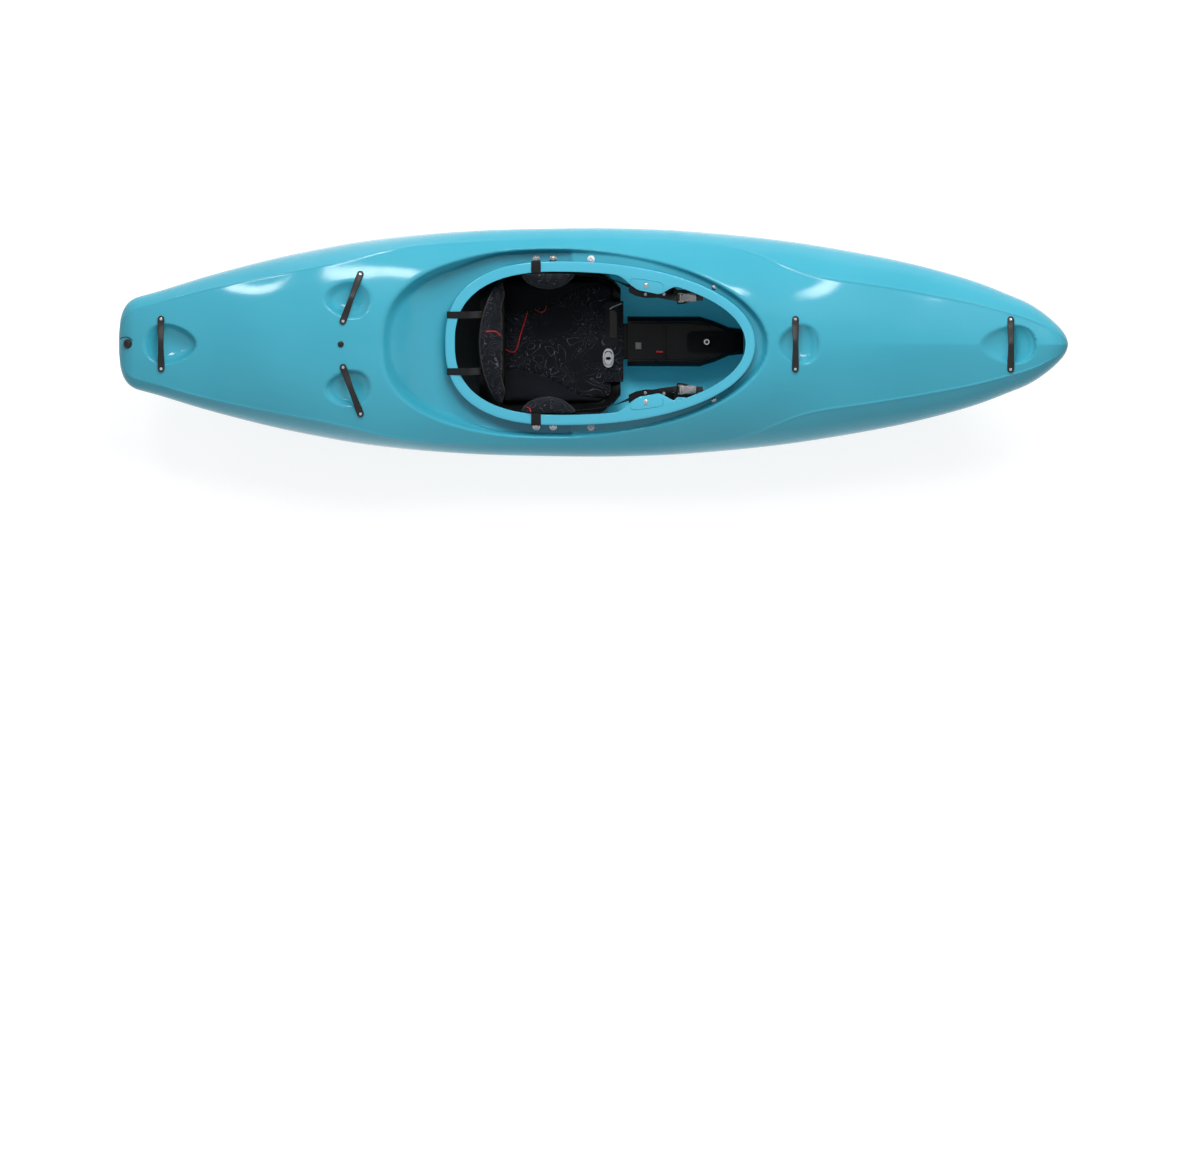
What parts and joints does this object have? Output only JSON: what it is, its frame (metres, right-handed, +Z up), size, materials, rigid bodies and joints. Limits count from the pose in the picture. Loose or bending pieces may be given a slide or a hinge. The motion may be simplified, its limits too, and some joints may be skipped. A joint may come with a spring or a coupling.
{
  "type": "whitewater kayak",
  "caption": "Short rockered creek kayak with a moulded hull, open cockpit, adjustable seat outfitting and grab handles.",
  "frame": {"origin": "on the ground plane below the middle of the boat's length, at its lowest keel line", "axes": "+X towards the bow, +Y to port, +Z up"},
  "size_m": [2.7378, 0.6658, 0.4908],
  "materials": {
    "hull_plastic": "satin gloss rotomoulded polyethylene",
    "black_plastic": "fine moulded grain",
    "fabric": "woven cover over foam",
    "foam": "closed-cell foam",
    "webbing": "woven nylon webbing",
    "grey_plastic": "moulded",
    "aluminium": "satin",
    "steel": "satin"
  },
  "bodies": {
    "hull": {"hull_shell": "hull_plastic", "rear_pillar_bolt": "black_plastic", "bow_handle": "black_plastic", "foredeck_handle": "black_plastic", "stern_handle": "black_plastic", "rear_handle_left": "black_plastic", "rear_handle_right": "black_plastic", "seat_bolt_rear_left": "steel", "seat_bolt_middle_left": "steel", "seat_bolt_front_left": "grey_plastic", "tab_bolt_left": "steel", "brace_bolt_left": "steel", "rail_bolt_rear_left": "steel", "rail_bolt_front_left": "steel", "hip_pad_left": "fabric", "hip_strap_left": "webbing", "rear_strap_left": "webbing", "ladder_strap_left": "webbing", "thigh_brace_left": "black_plastic", "thigh_pad_left": "foam", "ratchet_body_left": "aluminium", "foot_rail_left": "aluminium", "seat_bolt_rear_right": "steel", "seat_bolt_middle_right": "steel", "seat_bolt_front_right": "grey_plastic", "tab_bolt_right": "steel", "brace_bolt_right": "steel", "rail_bolt_rear_right": "steel", "rail_bolt_front_right": "steel", "hip_pad_right": "fabric", "hip_strap_right": "webbing", "rear_strap_right": "webbing", "ladder_strap_right": "webbing", "thigh_brace_right": "black_plastic", "thigh_pad_right": "foam", "ratchet_body_right": "aluminium", "foot_rail_right": "aluminium", "seat_pan": "black_plastic", "seat_pad": "fabric", "centre_console": "black_plastic", "console_pad": "foam", "console_knob": "black_plastic", "rear_pillar": "foam", "front_pillar": "foam"},
    "lifter": {"leg_lifter_flap": "fabric", "leg_lifter_strap": "webbing", "cam_buckle": "steel"},
    "cam": {"cam_lever": "steel"},
    "backband": {"backband_shell": "black_plastic", "backband_pad": "fabric"},
    "ratchet_left": {"ratchet_lever_left": "aluminium"},
    "ratchet_right": {"ratchet_lever_right": "aluminium"},
    "bulkhead": {"footplate": "black_plastic", "footplate_foam": "foam"},
    "plug": {"drain_plug": "black_plastic"}
  },
  "joints": [
    {"name": "leg_lifter_tilt", "type": "hinge", "parent": "hull", "child": "lifter", "pos_m": [0.03, 0, 0.1008], "axis": [0, -1, 0], "range_deg": [0, 15]},
    {"name": "cam_lever_open", "type": "hinge", "parent": "lifter", "child": "cam", "pos_m": [0.046, -0.034, 0.1151], "axis": [-1, 0, 0], "range_deg": [0, 60]},
    {"name": "backband_tilt", "type": "hinge", "parent": "hull", "child": "backband", "pos_m": [-0.285, 0, 0.15], "axis": [0, 1, 0], "range_deg": [-12, 18], "deforming": ["ladder_strap_left", "ladder_strap_right", "rear_strap_left", "rear_strap_right"]},
    {"name": "footplate_slide", "type": "slide", "parent": "hull", "child": "bulkhead", "axis": [1, 0, 0], "range_m": [-0.05, 0.12]},
    {"name": "drain_plug_pull", "type": "slide", "parent": "hull", "child": "plug", "axis": [-0.3781, 0, 0.9257], "range_m": [0, 0.03]},
    {"name": "ratchet_lever_open_left", "type": "hinge", "parent": "hull", "child": "ratchet_left", "pos_m": [0.25487, 0.133, 0.35793], "axis": [0, -1, 0], "range_deg": [0, 70]},
    {"name": "ratchet_lever_open_right", "type": "hinge", "parent": "hull", "child": "ratchet_right", "pos_m": [0.25487, -0.133, 0.35793], "axis": [0, -1, 0], "range_deg": [0, 70]}
  ]
}
